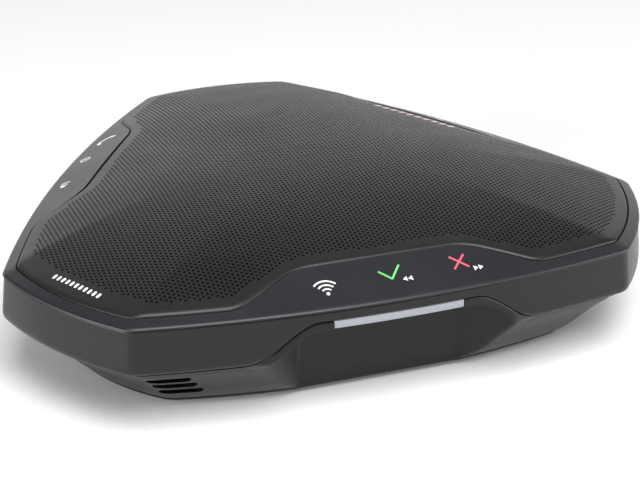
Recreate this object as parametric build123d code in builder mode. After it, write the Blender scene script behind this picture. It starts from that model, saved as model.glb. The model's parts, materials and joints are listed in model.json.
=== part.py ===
from build123d import *
import math
import os

os.makedirs("parts", exist_ok=True)

# Millimetres. The vertical axis through the origin is the three-fold axis of the plan, the front
# long side faces -Y, and z = 0 is the surface that the rubber foot rests on.

# Plan outline of the rim: three long and three short sides, all bulged outwards
long_distance = 81.9      # axis to the chord of a long side
short_distance = 113.5    # axis to the chord of a short side
long_bulge = 8.26
short_bulge = 3.96
corner_radius = 7.0
long_reach = long_distance + long_bulge      # axis to the middle of a long side

# Heights
base_z = 1.5              # underside of the lower case
floor_z = 4.0             # inside of the case bottom
parting_z = 23.0          # parting line between side band and lower case
arch_z = 34.7             # top of the raised parting line over a finger pocket
band_top_z = 36.7
rim_z = 38.5              # edge of the top frame
dome_rise = 16.2
dome_power = 2.4
grille_lift = 0.5         # the grille stands this proud of the frame

wall = 2.0
seam = 0.3                # gap between two outer shells
band_flare = 1.1          # the band's lower edge stands outside the rim by this

# Top frame and its three control panels
frame_slope = math.tan(math.radians(22.5))
frame_reach = 22.0        # how far in the sloped frame is made before the window is cut
border_width = 4.0        # frame showing between rim and grille
panel_outer_half = 51.35  # half width of a panel where the grille border meets it
panel_inner_half = 27.4
panel_depth = 17.7        # rim to the inner edge of a panel

# Finger pockets under the long sides
arch_foot = 49.5          # half width of the raised parting line at its foot
arch_head = 25.8          # half width of its level top
lip_height = 2.8          # flush strip between parting line and pocket
pocket_half = 27.7
pocket_mouth_half = 45.5
pocket_inset_top = 15.5
pocket_inset_bottom = 17.8
bar_half = 21.6           # half length of a light bar
bar_depth = 6.0

# Lower case sections: height, inset of the long sides, inset of the short sides, corner radius
case_levels = (
    (22.7, 0.7, 1.6, 7.0),
    (17.5, 4.2, 7.6, 8.4),
    (12.0, 7.9, 13.1, 9.8),
    (6.5, 12.0, 17.8, 11.2),
    (1.5, 19.0, 24.0, 12.5),
)
case_top_z = case_levels[0][0]

# Slots for a microphone beside the left end of each long side, as (middle along the side, height)
slot_places = ((-71.4, 17.2), (-68.9, 13.7), (-66.4, 10.0))
slot_length = 13.5
slot_height = 2.5
mic_place = (-62.0, 13.5)
mic_inset = 20.0

# Port plate and its power button, in the wall of the left finger pocket
port_z = 13.5
port_face = 72.9          # axis to the face of the port plate
port_width = 36.0
port_height = 11.0
port_thickness = 3.4
usb_x = -8.0
button_x = 9.0
button_radius = 3.2
button_travel = 0.5

# Inside
deck_z = 33.0
deck_thickness = 2.0
tower_radius = 42.0
tower_top_z = 43.0
board_z = 20.0
board_thickness = 1.6
case_post_reach = 80.0    # posts for the case screws, in pairs at the short sides
case_post_spread = 10.0   # degrees either side of the short side's middle
post_split_z = 24.0       # where case posts and deck posts meet
head_seat_z = 16.0
board_post_reach = 70.0

# Battery bay under the middle of the case
door_length = 78.0
door_width = 50.0
door_thickness = 2.0
battery_length = 60.0
battery_width = 44.0
battery_height = 12.5
battery_x = -6.0
door_screw_x = 32.0

# Foot ring
foot_radius = 60.0
foot_width = 6.0
foot_top_z = 2.5

# Loudspeaker, as heights and radii
chamber_floor_z = 20.0
yoke_z = 20.6
magnet_z = 23.6
plate_z = 29.6
plate_top_z = 32.0
flange_z = 43.6
flange_radius = 38.0
speaker_screw_reach = 35.6
cone_top_z = 43.6
cone_radius = 27.5
coil_radius = 10.6

side_names = ("front", "right", "left")
cos30 = math.cos(math.radians(30))


def save(piece, name):
    """Label a finished piece and write it under its node name."""
    piece.part.label = name
    export_step(piece.part, f"parts/{name}.step")


def corner_points(inset, short_inset):
    """Corners of the six-sided plan, anticlockwise from the front left."""
    depth = long_distance - inset
    half = (short_distance - short_inset - 0.5 * depth) / cos30
    pair = (Vector(-half, -depth), Vector(half, -depth))
    return [point.rotate(Axis.Z, 120 * turn) for turn in range(3) for point in pair]


def outline(inset, height=0.0, size=1.0, short_inset=None, corner=corner_radius):
    """Rim outline moved in by inset, or shrunk about the axis by size."""
    short_side_inset = inset if short_inset is None else short_inset
    points = [point * size for point in corner_points(inset, short_side_inset)]
    with BuildSketch(Plane.XY.offset(height)) as plan:
        with BuildLine():
            for index, start in enumerate(points):
                end = points[(index + 1) % 6]
                middle = (start + end) / 2
                bulge = long_bulge if index % 2 == 0 else short_bulge
                ThreePointArc(start, middle + middle.normalized() * bulge * size, end)
        make_face()
        fillet(plan.vertices(), corner * size)
    return plan.sketch


def case_section(level, grow=0.0, lowest=0.0):
    """Outline of the lower case at one of its levels, moved in by grow."""
    height, inset, short_inset, corner = level
    return outline(inset + grow, max(height, lowest), 1.0, short_inset + grow, corner)


def side_plane(turn, distance):
    """Upright plane facing out of a long side: x along the side, y up."""
    angle = math.radians(120 * turn - 90)
    out = Vector(math.cos(angle), math.sin(angle))
    along = Vector(-math.sin(angle), math.cos(angle))
    return Plane(origin=out * distance, x_dir=along, z_dir=out)


def dome(drop):
    """Solid under the domed top; its level lines are shrunk copies of the rim."""
    sizes = (1.0, 0.93, 0.84, 0.72, 0.58, 0.42, 0.25, 0.08)
    levels = [outline(0, rim_z - drop + dome_rise * (1 - size**dome_power), size) for size in sizes]
    with BuildPart() as shape:
        loft(levels)
    return shape.part


def window(grow):
    """Plan of the grille: the rim outline moved in, less the three control panels."""
    inner_y = panel_depth - long_reach
    outer_y = inner_y - 40
    spread = (panel_outer_half - panel_inner_half) / (panel_depth - border_width - 3.0)
    outer_half = panel_inner_half + spread * 40
    with BuildSketch() as panel:
        with BuildLine():
            Polyline(
                (grow * 0.5 - panel_inner_half, inner_y - grow),
                (panel_inner_half - grow * 0.5, inner_y - grow),
                (outer_half - grow, outer_y),
                (grow - outer_half, outer_y),
                close=True,
            )
        make_face()
    with BuildSketch() as plan:
        add(outline(border_width - grow))
        with PolarLocations(0, 3):
            add(panel.sketch, mode=Mode.SUBTRACT)
        inner_corners = plan.vertices().filter_by(lambda v: v.center().length < 101)
        fillet(inner_corners, 5.0)
    return plan.sketch


def belt(inset):
    """Solid inside the flared side band, from under the rim to below the parting line."""
    with BuildPart() as shape:
        top = outline(inset + 0.2, band_top_z)
        waist = outline(inset - band_flare, parting_z + 1.2)
        bottom = outline(inset - band_flare + 0.9, parting_z)
        skirt = outline(inset - band_flare + 0.9, parting_z - 4)
        loft([skirt, bottom], ruled=True)
        loft([bottom, waist], ruled=True)
        loft([waist, top], ruled=True)
    return shape.part


def case_post_points():
    """The six places of the case screws."""
    angles = [side + turn for side in (-30, 90, 210) for turn in (-case_post_spread, case_post_spread)]
    return [Vector(case_post_reach, 0).rotate(Axis.Z, angle) for angle in angles]


def board_post_points():
    """The three places of the main board screws."""
    return [Vector(board_post_reach, 0).rotate(Axis.Z, angle) for angle in (-30, 90, 210)]


def turned(solid, name, turn):
    """Copy of a front-side piece on another long side, labelled with its side."""
    copy = solid.rotate(Axis.Z, 120 * turn)
    copy.label = f"{name}_{side_names[turn]}"
    export_step(copy, f"parts/{copy.label}.step")


def arch(drop, widen=0.0):
    """Front profile under the raised parting line, seen square to a long side."""
    foot = arch_foot + widen
    head = arch_head + widen
    foot_z = parting_z - drop
    with BuildSketch(side_plane(0, long_reach + 10)) as profile:
        with BuildLine():
            Spline((-foot, foot_z), (-head, arch_z - drop), tangents=((1, 0), (1, 0)))
            Line((-head, arch_z - drop), (head, arch_z - drop))
            Spline((head, arch_z - drop), (foot, foot_z), tangents=((1, 0), (1, 0)))
            Polyline((foot, foot_z), (foot, -5), (-foot, -5), (-foot, foot_z))
        make_face()
    return profile.sketch


def pocket_plan(height, inset, grow):
    """Plan of a finger pocket at one height."""
    back_y = inset - long_reach + grow
    mouth_y = -long_reach - 1
    spread = (pocket_mouth_half - pocket_half) / (pocket_inset_top - 1)
    mouth_half = pocket_half + spread * (inset + 1)
    side = grow / math.cos(math.atan(1 / spread))
    with BuildSketch(Plane.XY.offset(height)) as plan:
        with BuildLine():
            Polyline(
                (-pocket_half - grow * 0.4, back_y),
                (pocket_half + grow * 0.4, back_y),
                (mouth_half + side, mouth_y),
                (mouth_half + side, mouth_y - 10),
                (-mouth_half - side, mouth_y - 10),
                (-mouth_half - side, mouth_y),
                close=True,
            )
        make_face()
    return plan.sketch


def pocket(grow):
    """One finger pocket at the front side, open to below and to the outside."""
    with BuildPart() as shape:
        low = pocket_plan(-1, pocket_inset_bottom, grow)
        high = pocket_plan(arch_z, pocket_inset_top, grow)
        loft([low, high], ruled=True)
        extrude(arch(lip_height - grow), amount=-60, mode=Mode.INTERSECT)
    return shape.part


# Lower case: tapered tray with raised shoulders, finger pockets, posts and openings
with BuildPart() as shoulder:
    add(belt(0.0))
    extrude(arch(seam, -seam), amount=-32, mode=Mode.INTERSECT)
    with Locations((0, 0, case_top_z - 10.5)):
        Box(300, 300, 20, mode=Mode.SUBTRACT)

with BuildPart() as shoulder_room:
    add(belt(wall))
    extrude(arch(-3, -wall), amount=-60, mode=Mode.INTERSECT)
    with Locations((0, 0, case_top_z - 10)):
        Box(300, 300, 20, mode=Mode.SUBTRACT)

with BuildPart() as case_room:
    loft([case_section(level, wall, floor_z) for level in case_levels])
    extrude(case_section(case_levels[0], wall), amount=10)
    with PolarLocations(0, 3):
        add(shoulder_room.part)
    with PolarLocations(0, 3):
        add(pocket(wall), mode=Mode.SUBTRACT)

with BuildPart() as lower_case:
    loft([case_section(level) for level in case_levels])
    with PolarLocations(0, 3):
        add(shoulder.part)
    with PolarLocations(0, 3):
        add(pocket(0.0), mode=Mode.SUBTRACT)
    add(case_room.part, mode=Mode.SUBTRACT)
    # light bar slots in the lips
    for turn in range(3):
        with BuildSketch(side_plane(turn, long_reach + 5)) as bar_slot:
            with Locations((0, arch_z)):
                Rectangle(2 * bar_half + 0.3, 8)
        extrude(amount=-5 - bar_depth - 0.15, mode=Mode.SUBTRACT)
    # microphone slots
    for turn in range(3):
        with BuildSketch(side_plane(turn, long_reach + 2)) as mic_slots:
            with Locations(*slot_places):
                SlotOverall(slot_length, slot_height)
        extrude(amount=-25, mode=Mode.SUBTRACT)
    # port opening in the left finger pocket
    with BuildSketch(side_plane(2, port_face + 3)) as port_hole:
        with Locations((0, port_z)):
            RectangleRounded(port_width + 0.2, port_height + 0.2, 1.6)
    extrude(amount=-9, mode=Mode.SUBTRACT)
    # posts for the case screws, board screws and port board
    with BuildSketch(Plane.XY.offset(floor_z - 1)) as case_posts:
        with Locations(*case_post_points()):
            Circle(5.0)
    extrude(amount=post_split_z - floor_z + 1)
    with BuildSketch(Plane.XY.offset(floor_z - 1)) as board_posts:
        with Locations(*board_post_points()):
            Circle(3.5)
    extrude(amount=board_z - floor_z + 1)
    with BuildSketch(Plane.XY.offset(floor_z - 1)) as port_posts:
        with Locations(*[Vector(x, -63.5).rotate(Axis.Z, 240) for x in (-13, 15)]):
            Circle(2.0)
    extrude(amount=port_z - 2.7 - floor_z + 1)
    # battery bay
    with BuildSketch(Plane.XY.offset(floor_z - 1)) as bay_wall:
        with Locations((battery_x, 0)):
            RectangleRounded(battery_length + 3.4, battery_width + 3.4, 3.0)
        with Locations((door_screw_x, 0)):
            Circle(3.0)
    extrude(amount=7)
    with BuildSketch(Plane.XY.offset(0)) as bay:
        with Locations((battery_x, 0)):
            RectangleRounded(battery_length + 1.0, battery_width + 1.0, 2.0)
    extrude(amount=12, mode=Mode.SUBTRACT)
    with BuildSketch(Plane.XY.offset(0)) as door_seat:
        RectangleRounded(door_length + 0.5, door_width + 0.5, 4.2)
    extrude(amount=base_z + door_thickness + 0.1, mode=Mode.SUBTRACT)
    with Locations((door_screw_x, 0, 8)):
        Hole(0.85, depth=6)
    # screw passages
    with BuildSketch(Plane.XY.offset(post_split_z)) as shank_holes:
        with Locations(*case_post_points()):
            Circle(1.7)
    extrude(amount=-30, mode=Mode.SUBTRACT)
    with BuildSketch(Plane.XY.offset(head_seat_z)) as head_holes:
        with Locations(*case_post_points()):
            Circle(3.2)
    extrude(amount=-20, mode=Mode.SUBTRACT)
    with BuildSketch(Plane.XY.offset(board_z)) as board_pilots:
        with Locations(*board_post_points()):
            Circle(1.0)
    extrude(amount=-8, mode=Mode.SUBTRACT)
    # groove for the foot ring
    with BuildSketch(Plane.XY.offset(0)) as groove:
        Circle(foot_radius + 0.1)
        Circle(foot_radius - foot_width - 0.1, mode=Mode.SUBTRACT)
    extrude(amount=foot_top_z, mode=Mode.SUBTRACT)

save(lower_case, "lower_case")

# Side band: flared ring, cut away over the finger pockets
with BuildPart() as side_band:
    add(belt(0.0))
    add(belt(wall), mode=Mode.SUBTRACT)
    with Locations((0, 0, parting_z - 4)):
        Box(300, 300, 8, mode=Mode.SUBTRACT)
    for turn in range(3):
        extrude(arch(0.0).rotate(Axis.Z, 120 * turn), amount=-40, mode=Mode.SUBTRACT)

save(side_band, "side_band")

# Top frame with three sloped control panels around the grille window
with BuildPart() as top_bezel:
    loft([outline(0, rim_z), outline(frame_reach, rim_z + frame_slope * frame_reach)], ruled=True)
    extrude(outline(0, rim_z), amount=-1.5)
    under_z = rim_z - 1.5
    loft(
        [outline(wall, under_z), outline(wall + frame_reach, under_z + frame_slope * frame_reach)],
        ruled=True,
        mode=Mode.SUBTRACT,
    )
    extrude(window(0.3), amount=80, mode=Mode.SUBTRACT)

save(top_bezel, "top_bezel")

# Domed grille
with BuildPart() as speaker_grille:
    add(dome(-grille_lift))
    add(dome(1.2 - grille_lift), mode=Mode.SUBTRACT)
    extrude(window(0.0), amount=80, mode=Mode.INTERSECT)

save(speaker_grille, "speaker_grille")

# Dust cloth close under the grille
with BuildPart() as dust_cloth:
    add(dome(1.4 - grille_lift))
    add(dome(1.8 - grille_lift), mode=Mode.SUBTRACT)
    extrude(window(-2.0), amount=80, mode=Mode.INTERSECT)

save(dust_cloth, "dust_cloth")

# Inner deck: plate with the speaker tower and the upper screw posts
with BuildPart() as inner_deck:
    extrude(outline(wall + 1.0, deck_z), amount=deck_thickness)
    for turn in range(3):
        with BuildSketch(side_plane(turn, long_reach + 5)) as shelf_gap:
            with Locations((0, deck_z)):
                Rectangle(2 * arch_foot + 4, 10)
        extrude(amount=-26, mode=Mode.SUBTRACT)
    with BuildSketch(Plane.XY.offset(deck_z)) as tower:
        Circle(tower_radius)
    extrude(amount=tower_top_z - deck_z)
    with BuildSketch(Plane.XY.offset(deck_z)) as tower_room:
        Circle(tower_radius - wall)
    extrude(amount=tower_top_z - wall - deck_z, mode=Mode.SUBTRACT)
    with BuildSketch(Plane.XY.offset(deck_z)) as speaker_hole:
        Circle(flange_radius - 4.2)
    extrude(amount=20, mode=Mode.SUBTRACT)
    with BuildSketch(Plane.XY.offset(deck_z)) as speaker_pilots:
        with PolarLocations(speaker_screw_reach, 4):
            Circle(1.25)
    extrude(amount=20, mode=Mode.SUBTRACT)
    with BuildSketch(Plane.XY.offset(post_split_z + 0.1)) as deck_posts:
        with Locations(*case_post_points()):
            Circle(4.0)
    extrude(amount=deck_z - post_split_z)
    with BuildSketch(Plane.XY.offset(post_split_z)) as screw_pilots:
        with Locations(*case_post_points()):
            Circle(1.5)
    extrude(amount=8, mode=Mode.SUBTRACT)

save(inner_deck, "inner_deck")

# Rear chamber: cup that seals the back of the speaker
with BuildPart() as rear_chamber:
    with BuildSketch(Plane.XZ) as chamber_section:
        with BuildLine():
            Polyline(
                (0, chamber_floor_z - 1.6),
                (tower_radius, chamber_floor_z - 1.6),
                (tower_radius, deck_z - 0.1),
                (tower_radius - 1.8, deck_z - 0.1),
                (tower_radius - 1.8, chamber_floor_z),
                (0, chamber_floor_z),
                close=True,
            )
        make_face()
    revolve(axis=Axis.Z)

save(rear_chamber, "rear_chamber")

# Loudspeaker motor
with BuildPart() as speaker_yoke:
    with BuildSketch(Plane.XY.offset(yoke_z)) as back_disc:
        Circle(20.5)
    extrude(amount=magnet_z - yoke_z)
    with BuildSketch(Plane.XY.offset(magnet_z)) as pole:
        Circle(10.0)
    extrude(amount=plate_top_z - magnet_z)
    chamfer(speaker_yoke.faces().sort_by(Axis.Z)[-1].edges(), 0.6)

save(speaker_yoke, "speaker_yoke")

with BuildPart() as speaker_magnet:
    with BuildSketch(Plane.XY.offset(magnet_z)) as magnet_ring:
        Circle(22.0)
        Circle(13.5, mode=Mode.SUBTRACT)
    extrude(amount=plate_z - magnet_z)

save(speaker_magnet, "speaker_magnet")

with BuildPart() as speaker_top_plate:
    with BuildSketch(Plane.XY.offset(plate_z)) as plate_ring:
        Circle(20.5)
        Circle(11.6, mode=Mode.SUBTRACT)
    extrude(amount=plate_top_z - plate_z)

save(speaker_top_plate, "speaker_top_plate")

# Basket: pressed frame from the top plate up to the mounting flange
with BuildPart() as speaker_basket:
    with BuildSketch(Plane.XZ) as basket_section:
        with BuildLine():
            Polyline(
                (14.0, plate_top_z),
                (20.5, plate_top_z),
                (23.0, 36.0),
                (33.5, flange_z),
                (flange_radius, flange_z),
                (flange_radius, flange_z + 1.2),
                (32.9, flange_z + 1.2),
                (22.2, 37.0),
                (19.6, plate_top_z + 1.0),
                (14.0, plate_top_z + 1.0),
                close=True,
            )
        make_face()
    revolve(axis=Axis.Z)
    with BuildSketch(Plane.XY.offset(35.0)) as basket_windows:
        with PolarLocations(27.5, 4, start_angle=45):
            RectangleRounded(8.0, 20.0, 3.0)
    extrude(amount=8, mode=Mode.SUBTRACT)
    with BuildSketch(Plane.XY.offset(flange_z)) as flange_holes:
        with PolarLocations(speaker_screw_reach, 4):
            Circle(1.3)
    extrude(amount=2, mode=Mode.SUBTRACT)

save(speaker_basket, "speaker_basket")

with BuildPart() as speaker_gasket:
    with BuildSketch(Plane.XY.offset(tower_top_z)) as gasket_ring:
        Circle(flange_radius)
        Circle(flange_radius - 4.2, mode=Mode.SUBTRACT)
        with PolarLocations(speaker_screw_reach, 4):
            Circle(1.3, mode=Mode.SUBTRACT)
    extrude(amount=flange_z - tower_top_z)

save(speaker_gasket, "speaker_gasket")

# Moving parts of the loudspeaker
with BuildPart() as voice_coil:
    with BuildSketch(Plane.XY.offset(plate_z - 3.0)) as former:
        Circle(coil_radius)
        Circle(coil_radius - 0.25, mode=Mode.SUBTRACT)
    extrude(amount=37.6 - plate_z + 3.0)
    with BuildSketch(Plane.XY.offset(plate_z - 3.0)) as winding:
        Circle(coil_radius + 0.6)
        Circle(coil_radius - 0.1, mode=Mode.SUBTRACT)
    extrude(amount=6.5)

save(voice_coil, "voice_coil")

with BuildPart() as speaker_cone:
    with BuildSketch(Plane.XZ) as cone_section:
        with BuildLine():
            ThreePointArc((coil_radius + 0.05, 37.0), (18.0, 40.9), (cone_radius, cone_top_z))
            Line((cone_radius, cone_top_z), (cone_radius, cone_top_z + 0.6))
            ThreePointArc((cone_radius, cone_top_z + 0.6), (18.0, 41.6), (coil_radius + 0.05, 37.7))
            Line((coil_radius + 0.05, 37.7), (coil_radius + 0.05, 37.0))
        make_face()
    revolve(axis=Axis.Z)

save(speaker_cone, "speaker_cone")

cap_top_z = 44.4
cap_radius = 23.3
cap_angle = 34.5

with BuildPart() as dust_cap:
    with BuildSketch(Plane.XZ) as cap_section:
        with BuildLine():
            outer = CenterArc((0, cap_top_z - cap_radius), cap_radius, 90 - cap_angle, cap_angle)
            inner = CenterArc((0, cap_top_z - cap_radius), cap_radius - 0.5, 90 - cap_angle, cap_angle)
            Line(outer @ 0, inner @ 0)
            Line(outer @ 1, inner @ 1)
        make_face()
    revolve(axis=Axis.Z)

save(dust_cap, "dust_cap")

with BuildPart() as cone_surround:
    with BuildSketch(Plane.XZ) as surround_section:
        with BuildLine():
            ThreePointArc((cone_radius + 0.1, 44.9), (30.3, 47.5), (33.0, 44.9))
            Line((33.0, 44.9), (32.5, 44.9))
            ThreePointArc((32.5, 44.9), (30.3, 47.0), (cone_radius + 0.6, 44.9))
            Line((cone_radius + 0.6, 44.9), (cone_radius + 0.1, 44.9))
        make_face()
    revolve(axis=Axis.Z)
    with BuildSketch(Plane.XY.offset(44.9)) as glue_rims:
        Circle(33.3)
        Circle(32.9, mode=Mode.SUBTRACT)
    extrude(amount=0.5)
    with BuildSketch(Plane.XY.offset(44.3)) as cone_rim:
        Circle(cone_radius + 0.6)
        Circle(cone_radius - 2.5, mode=Mode.SUBTRACT)
    extrude(amount=0.7)

save(cone_surround, "cone_surround")

with BuildPart() as coil_spider:
    with BuildSketch(Plane.XY.offset(35.2)) as spider_ring:
        Circle(20.0)
        Circle(coil_radius + 0.1, mode=Mode.SUBTRACT)
    extrude(amount=0.4)

save(coil_spider, "coil_spider")

with BuildPart() as speaker_screws:
    with BuildSketch(Plane.XY.offset(tower_top_z - 0.9)) as shanks:
        with PolarLocations(speaker_screw_reach, 4):
            Circle(1.2)
    extrude(amount=flange_z + 1.2 - tower_top_z + 0.9)
    with BuildSketch(Plane.XY.offset(flange_z + 1.2)) as heads:
        with PolarLocations(speaker_screw_reach, 4):
            Circle(2.2)
    extrude(amount=1.2)

save(speaker_screws, "speaker_screws")

# Main board around the speaker, its shield and radio module
with BuildPart() as main_board:
    extrude(outline(25.0, board_z), amount=board_thickness)
    with BuildSketch(Plane.XY.offset(board_z)) as board_cuts:
        Circle(tower_radius + 3)
        with Locations(*case_post_points()):
            Circle(6.0)
        with Locations(*board_post_points()):
            Circle(1.4)
    extrude(amount=board_thickness, mode=Mode.SUBTRACT)

save(main_board, "main_board")

with BuildPart() as processor_shield:
    with BuildSketch(Plane.XY.offset(board_z + board_thickness)) as shield_plan:
        with Locations(Vector(58, 0).rotate(Axis.Z, -30)):
            RectangleRounded(16, 22, 1.0)
    extrude(amount=3.0)

save(processor_shield, "processor_shield")

with BuildPart() as radio_module:
    with BuildSketch(Plane.XY.offset(board_z + board_thickness)) as module_plan:
        with Locations((0, 58)):
            Rectangle(22, 15)
    extrude(amount=2.2)

save(radio_module, "radio_module")

with BuildPart() as board_screws:
    with BuildSketch(Plane.XY.offset(board_z - 5)) as board_shanks:
        with Locations(*board_post_points()):
            Circle(0.95)
    extrude(amount=5 + board_thickness)
    with BuildSketch(Plane.XY.offset(board_z + board_thickness)) as board_heads:
        with Locations(*board_post_points()):
            Circle(2.0)
    extrude(amount=1.4)

save(board_screws, "board_screws")

with BuildPart() as case_screws:
    with BuildSketch(Plane.XY.offset(head_seat_z - 2.0)) as case_heads:
        with Locations(*case_post_points()):
            Circle(2.8)
    extrude(amount=2.0)
    with BuildSketch(Plane.XY.offset(head_seat_z)) as case_shanks:
        with Locations(*case_post_points()):
            Circle(1.45)
    extrude(amount=14.0)
    with BuildSketch(Plane.XY.offset(head_seat_z - 2.0)) as drives:
        with Locations(*case_post_points()):
            Rectangle(2.6, 0.7)
            Rectangle(0.7, 2.6)
    extrude(amount=1.1, mode=Mode.SUBTRACT)

save(case_screws, "case_screws")

# Battery, its door and the door screw
with BuildPart() as battery_pack:
    with BuildSketch(Plane.XY.offset(base_z + door_thickness + 0.3)) as pack_plan:
        with Locations((battery_x, 0)):
            RectangleRounded(battery_length, battery_width, 2.0)
    extrude(amount=battery_height)
    chamfer(battery_pack.faces().sort_by(Axis.Z)[-1].edges(), 0.8)

save(battery_pack, "battery_pack")

with BuildPart() as battery_contacts:
    with BuildSketch(Plane.XY.offset(board_z - 3.2)) as contact_block:
        with Locations((battery_x, 0)):
            Rectangle(16, 5)
    extrude(amount=1.2)
    with BuildSketch(Plane.XY.offset(base_z + door_thickness + 0.3 + battery_height)) as blades:
        with Locations((battery_x, 0)):
            with GridLocations(5, 0, 3, 1):
                Rectangle(1.4, 3.0)
    extrude(amount=0.5)

save(battery_contacts, "battery_contacts")

with BuildPart() as battery_door:
    with BuildSketch(Plane.XY.offset(base_z)) as door_plan:
        RectangleRounded(door_length, door_width, 4.0)
    extrude(amount=door_thickness)
    chamfer(battery_door.faces().sort_by(Axis.Z)[0].edges(), 0.4)
    with BuildSketch(Plane.XY.offset(base_z)) as finger_dip:
        with Locations((-33, 0)):
            with GridLocations(2.4, 0, 3, 1):
                SlotOverall(14, 1.0, rotation=90)
    extrude(amount=0.6, mode=Mode.SUBTRACT)
    with BuildSketch(Plane.XY.offset(base_z)) as door_hole:
        with Locations((door_screw_x, 0)):
            Circle(1.2)
    extrude(amount=door_thickness, mode=Mode.SUBTRACT)
    with BuildSketch(Plane.XY.offset(base_z)) as door_head_seat:
        with Locations((door_screw_x, 0)):
            Circle(2.2)
    extrude(amount=1.2, mode=Mode.SUBTRACT)

save(battery_door, "battery_door")

with BuildPart() as battery_door_screw:
    with BuildSketch(Plane.XY.offset(base_z + 0.2)) as door_screw_head:
        with Locations((door_screw_x, 0)):
            Circle(2.0)
            Rectangle(2.0, 0.6, mode=Mode.SUBTRACT)
            Rectangle(0.6, 2.0, mode=Mode.SUBTRACT)
    extrude(amount=0.6)
    with BuildSketch(Plane.XY.offset(base_z + 0.8)) as door_screw_neck:
        with Locations((door_screw_x, 0)):
            Circle(2.0)
    extrude(amount=0.4)
    with BuildSketch(Plane.XY.offset(base_z + 1.2)) as door_screw_shank:
        with Locations((door_screw_x, 0)):
            Circle(0.8)
    extrude(amount=6.0)

save(battery_door_screw, "battery_door_screw")

# Rubber foot ring
with BuildPart() as foot_ring:
    with BuildSketch() as foot_plan:
        Circle(foot_radius)
        Circle(foot_radius - foot_width, mode=Mode.SUBTRACT)
    extrude(amount=foot_top_z)
    fillet(foot_ring.faces().sort_by(Axis.Z)[0].edges(), 0.6)

save(foot_ring, "foot_ring")

# Port plate, socket, board and power button in the left finger pocket
port_plane = side_plane(2, port_face)
out_axis = Axis((0, 0, 0), port_plane.z_dir)

with BuildPart() as port_plate:
    with BuildSketch(port_plane) as plate_plan:
        with Locations((0, port_z)):
            RectangleRounded(port_width, port_height, 1.5)
        with Locations((usb_x, port_z)):
            RectangleRounded(9.4, 3.7, 1.6, mode=Mode.SUBTRACT)
        with Locations((button_x, port_z)):
            Circle(button_radius + 0.3, mode=Mode.SUBTRACT)
    extrude(amount=-port_thickness)
    chamfer(port_plate.faces().sort_by(out_axis)[-1].edges(), 0.3)

save(port_plate, "port_plate")

with BuildPart() as usb_socket:
    with BuildSketch(port_plane.offset(-0.2)) as shell_plan:
        with Locations((usb_x, port_z)):
            SlotOverall(9.0, 3.3)
    extrude(amount=-7.3)
    with BuildSketch(port_plane.offset(-0.2)) as shell_mouth:
        with Locations((usb_x, port_z)):
            SlotOverall(8.4, 2.7)
    extrude(amount=-6.3, mode=Mode.SUBTRACT)
    with BuildSketch(port_plane.offset(-7.3)) as tongue:
        with Locations((usb_x, port_z)):
            Rectangle(6.6, 0.7)
    extrude(amount=5.6)

save(usb_socket, "usb_socket")

with BuildPart() as port_board:
    with BuildSketch(port_plane.offset(-port_thickness - 1.8)) as port_board_end:
        with Locations((1, port_z - 2.2)):
            Rectangle(33, 1.0)
    extrude(amount=-10)

save(port_board, "port_board")

with BuildPart() as power_button:
    with BuildSketch(port_plane.offset(0.7)) as cap_plan:
        with Locations((button_x, port_z)):
            Circle(button_radius)
    extrude(amount=-port_thickness - 1.0)
    fillet(power_button.faces().sort_by(out_axis)[-1].edges(), 0.4)
    with BuildSketch(port_plane.offset(-port_thickness - 0.3)) as button_flange:
        with Locations((button_x, port_z)):
            Circle(button_radius + 0.9)
    extrude(amount=-0.6)

save(power_button, "power_button")

with BuildPart() as switch_plunger:
    with BuildSketch(port_plane.offset(-port_thickness - 0.9)) as plunger_plan:
        with Locations((button_x, port_z)):
            Circle(1.2)
    extrude(amount=-1.4)

save(switch_plunger, "switch_plunger")

with BuildPart() as power_switch:
    with BuildSketch(port_plane.offset(-port_thickness - 1.8)) as switch_plan:
        with Locations((button_x, port_z + 0.4)):
            Rectangle(6.0, 4.2)
    extrude(amount=-4.0)
    with BuildSketch(port_plane.offset(-port_thickness - 1.8)) as plunger_hole:
        with Locations((button_x, port_z)):
            Circle(1.5)
    extrude(amount=-2.2, mode=Mode.SUBTRACT)

save(power_switch, "power_switch")

# Pieces that repeat at the three long sides, modelled at the front one
with BuildPart() as light_bar:
    add(belt(0.0))
    with BuildSketch(side_plane(0, long_reach + 5)) as bar_front:
        with Locations((0, arch_z - seam - lip_height / 2 + 0.15)):
            Rectangle(2 * bar_half, lip_height - 0.3)
    extrude(amount=-5 - bar_depth, mode=Mode.INTERSECT)

shelf_top_z = arch_z - lip_height + wall

with BuildPart() as led_board:
    with BuildSketch(side_plane(0, long_reach - bar_depth - 0.4)) as led_end:
        with Locations((0, shelf_top_z + 0.5)):
            Rectangle(40, 0.8)
    extrude(amount=-8)
    with BuildSketch(side_plane(0, long_reach - bar_depth - 0.4)) as leds:
        with Locations((0, shelf_top_z + 1.3)):
            with GridLocations(6, 0, 6, 1):
                Rectangle(3.0, 0.8)
    extrude(amount=-2)

panel_mid = 10.6
board_drop = wall + 1.9
touch_plane = Plane(
    origin=(0, panel_mid - long_reach, rim_z + frame_slope * panel_mid - board_drop),
    x_dir=(1, 0, 0),
    z_dir=(0, -math.sin(math.atan(frame_slope)), math.cos(math.atan(frame_slope))),
)

with BuildPart() as touch_board:
    with BuildSketch(touch_plane) as touch_plan:
        RectangleRounded(60, 11, 1.0)
    extrude(amount=-1.0)
    with BuildSketch(touch_plane) as indicator_lamps:
        with GridLocations(18, 0, 3, 1):
            Rectangle(2.0, 1.2)
    extrude(amount=0.6)

with BuildPart() as mic_board:
    with BuildSketch(side_plane(0, long_reach - mic_inset)) as mic_plan:
        with Locations(mic_place):
            RectangleRounded(12, 7, 0.8)
    extrude(amount=-1.0)

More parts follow.
